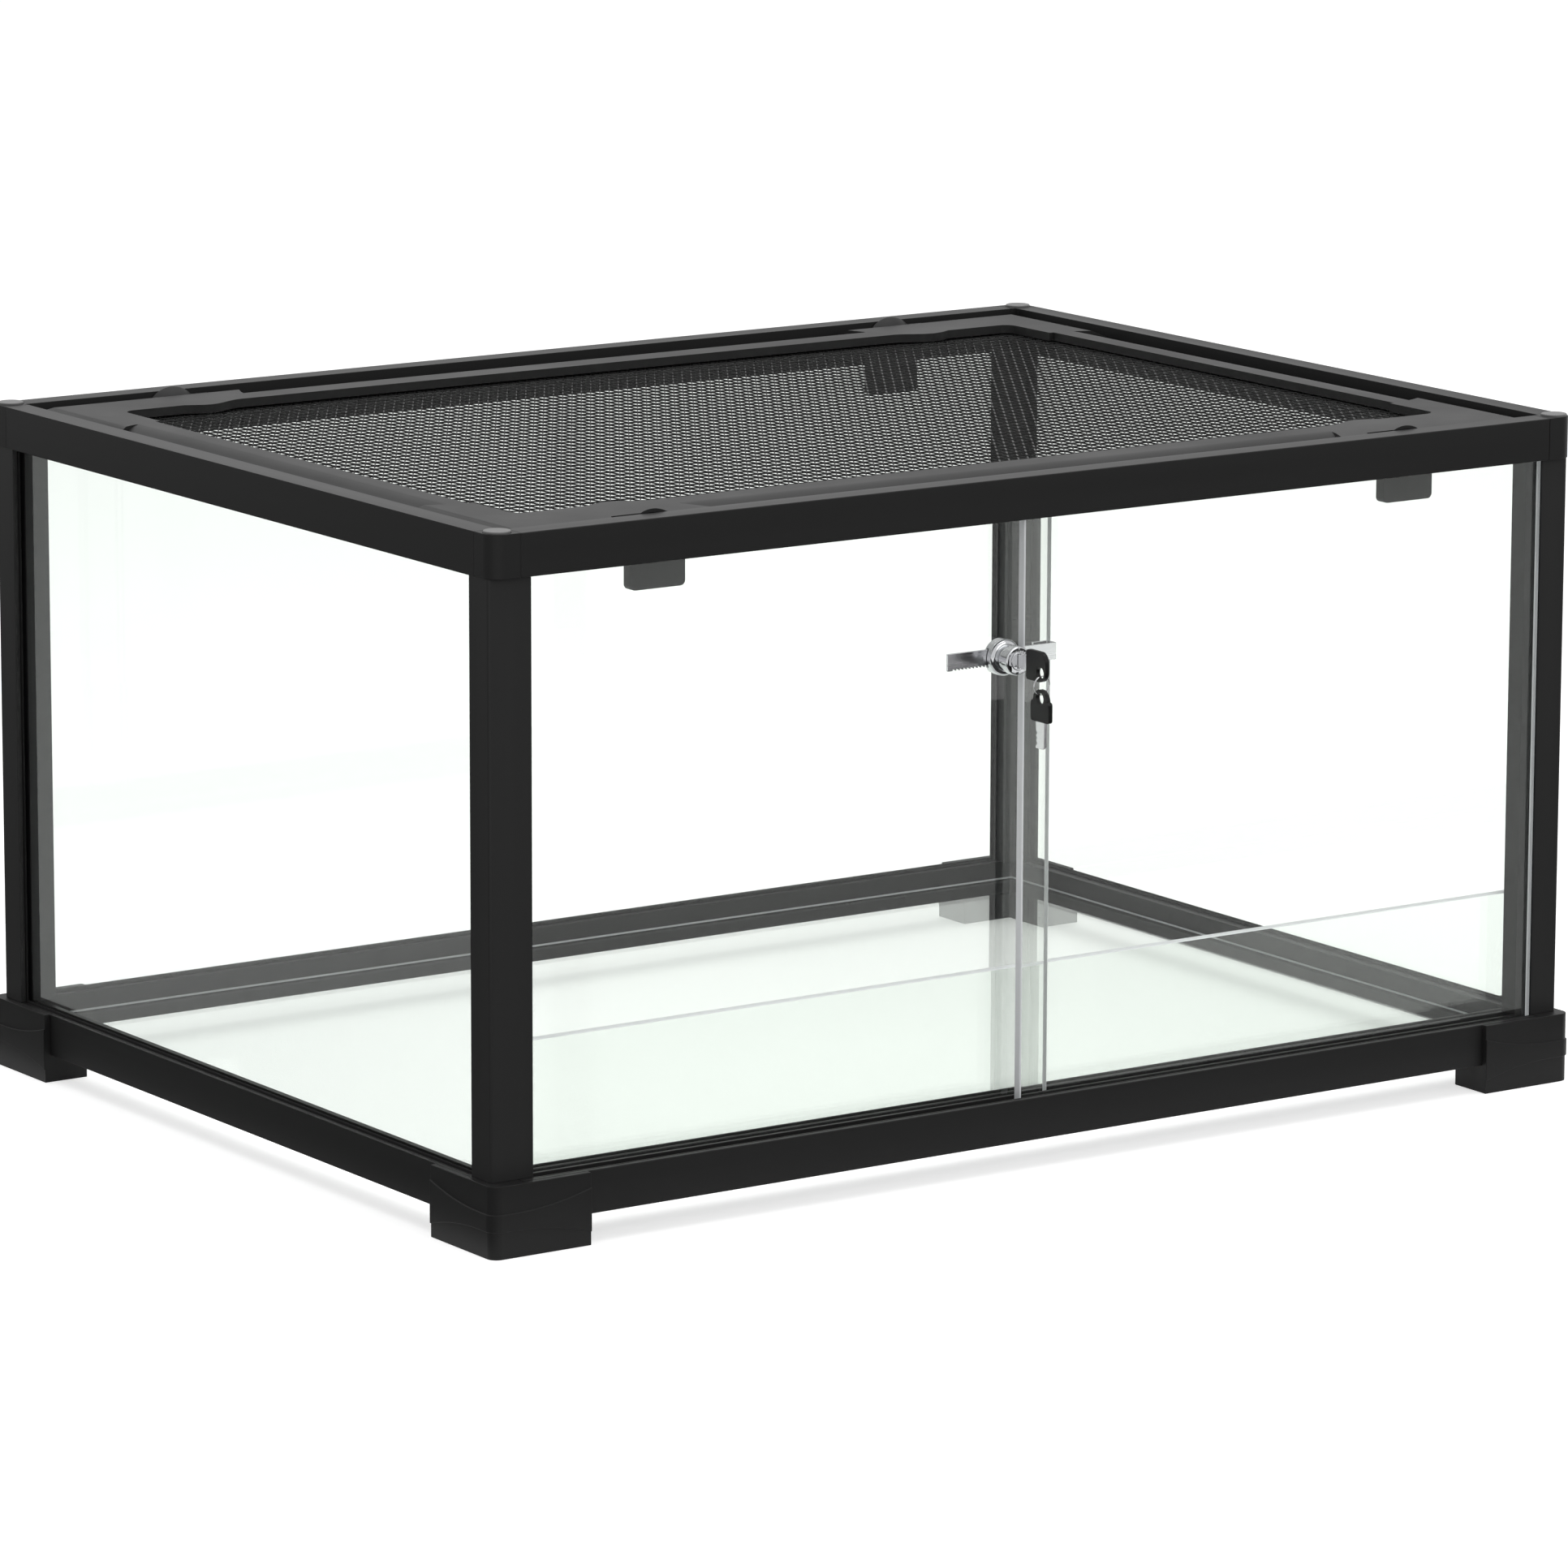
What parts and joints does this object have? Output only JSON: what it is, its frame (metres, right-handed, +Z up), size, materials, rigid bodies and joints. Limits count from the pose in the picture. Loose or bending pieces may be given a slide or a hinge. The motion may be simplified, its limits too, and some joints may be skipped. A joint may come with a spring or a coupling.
{
  "type": "glass reptile enclosure",
  "caption": "Front-opening glass reptile enclosure in a black frame, with sliding doors, a ratchet lock and a lift-off mesh screen held by finger clips.",
  "frame": {"origin": "centre of the footprint, key included, on the ground under the feet", "axes": "+Z up, front with the doors towards -Y, +X to the right as seen from the front"},
  "size_m": [0.6172, 0.4812, 0.3268],
  "materials": {
    "corner_plastic": "satin moulded",
    "frame_metal": "black anodised",
    "cap_plastic": "satin",
    "screw_steel": "zinc plated",
    "glass": "clear float glass",
    "gasket_rubber": "matte",
    "track_plastic": "satin",
    "screen_plastic": "satin moulded",
    "mesh_wire": "black coated wire",
    "lock_chrome": "polished",
    "bar_steel": "bright",
    "key_plastic": "glossy"
  },
  "bodies": {
    "frame": {"base_corner_fl": "corner_plastic", "base_corner_fr": "corner_plastic", "base_corner_bl": "corner_plastic", "base_corner_br": "corner_plastic", "top_corner_fl": "corner_plastic", "top_corner_fr": "corner_plastic", "top_corner_bl": "corner_plastic", "top_corner_br": "corner_plastic", "base_rail_front": "frame_metal", "base_rail_back": "frame_metal", "base_rail_left": "frame_metal", "base_rail_right": "frame_metal", "post_fl": "frame_metal", "post_fr": "frame_metal", "post_bl": "frame_metal", "post_br": "frame_metal", "top_rail_front": "frame_metal", "top_rail_back": "frame_metal", "top_rail_left": "frame_metal", "top_rail_right": "frame_metal", "corner_caps": "cap_plastic", "corner_screws": "screw_steel", "foot_screws": "screw_steel", "glass_left": "glass", "glass_right": "glass", "glass_back": "glass", "floor_panel": "glass", "front_barrier": "glass", "gasket_left": "gasket_rubber", "gasket_right": "gasket_rubber", "gasket_back": "gasket_rubber", "lower_door_track": "track_plastic", "upper_door_track": "track_plastic", "screen_ledge_front": "track_plastic", "screen_ledge_back": "track_plastic", "screen_ledge_left": "track_plastic", "screen_ledge_right": "track_plastic"},
    "left_door": {"door_left": "glass", "lock_bar": "bar_steel"},
    "right_door": {"door_right": "glass", "lock_body": "lock_chrome"},
    "screen": {"screen_frame": "screen_plastic", "mesh_right_wires": "mesh_wire", "mesh_left_wires": "mesh_wire", "mesh_strips": "screen_plastic"},
    "key": {"lock_plug": "lock_chrome", "key_blade": "bar_steel", "key_head": "key_plastic"},
    "ring": {"key_ring": "bar_steel"},
    "spare_key": {"spare_key_blade": "bar_steel", "spare_key_head": "key_plastic"},
    "clip_fl": {"screen_clip_fl": "screen_plastic"},
    "clip_fr": {"screen_clip_fr": "screen_plastic"},
    "clip_bl": {"screen_clip_bl": "screen_plastic"},
    "clip_br": {"screen_clip_br": "screen_plastic"}
  },
  "joints": [
    {"name": "left_door_slide", "type": "slide", "parent": "frame", "child": "left_door", "axis": [1, 0, 0], "range_m": [0, 0.27]},
    {"name": "right_door_slide", "type": "slide", "parent": "frame", "child": "right_door", "axis": [-1, 0, 0], "range_m": [0, 0.245]},
    {"name": "screen_lift", "type": "slide", "parent": "frame", "child": "screen", "axis": [0, 0, 1], "range_m": [0, 0.06]},
    {"name": "clip_press_fl", "type": "slide", "parent": "screen", "child": "clip_fl", "axis": [0, 1, 0], "range_m": [0, 0.002], "stiffness_N_per_m": 1600},
    {"name": "clip_press_fr", "type": "slide", "parent": "screen", "child": "clip_fr", "axis": [0, 1, 0], "range_m": [0, 0.002], "stiffness_N_per_m": 1600},
    {"name": "clip_press_bl", "type": "slide", "parent": "screen", "child": "clip_bl", "axis": [0, -1, 0], "range_m": [0, 0.002], "stiffness_N_per_m": 1600},
    {"name": "clip_press_br", "type": "slide", "parent": "screen", "child": "clip_br", "axis": [0, -1, 0], "range_m": [0, 0.002], "stiffness_N_per_m": 1600},
    {"name": "key_turn", "type": "hinge", "parent": "right_door", "child": "key", "pos_m": [-0.0238, -0.21582, 0.241], "axis": [0, 1, 0], "range_deg": [0, 90]},
    {"name": "ring_swing", "type": "hinge", "parent": "key", "child": "ring", "pos_m": [-0.0238, -0.23362, 0.2347], "axis": [0, 1, 0], "range_deg": [-90, 60]},
    {"name": "spare_key_swing", "type": "hinge", "parent": "ring", "child": "spare_key", "pos_m": [-0.0238, -0.23362, 0.2282], "axis": [1, 0, 0], "range_deg": [-30, 30]}
  ]
}
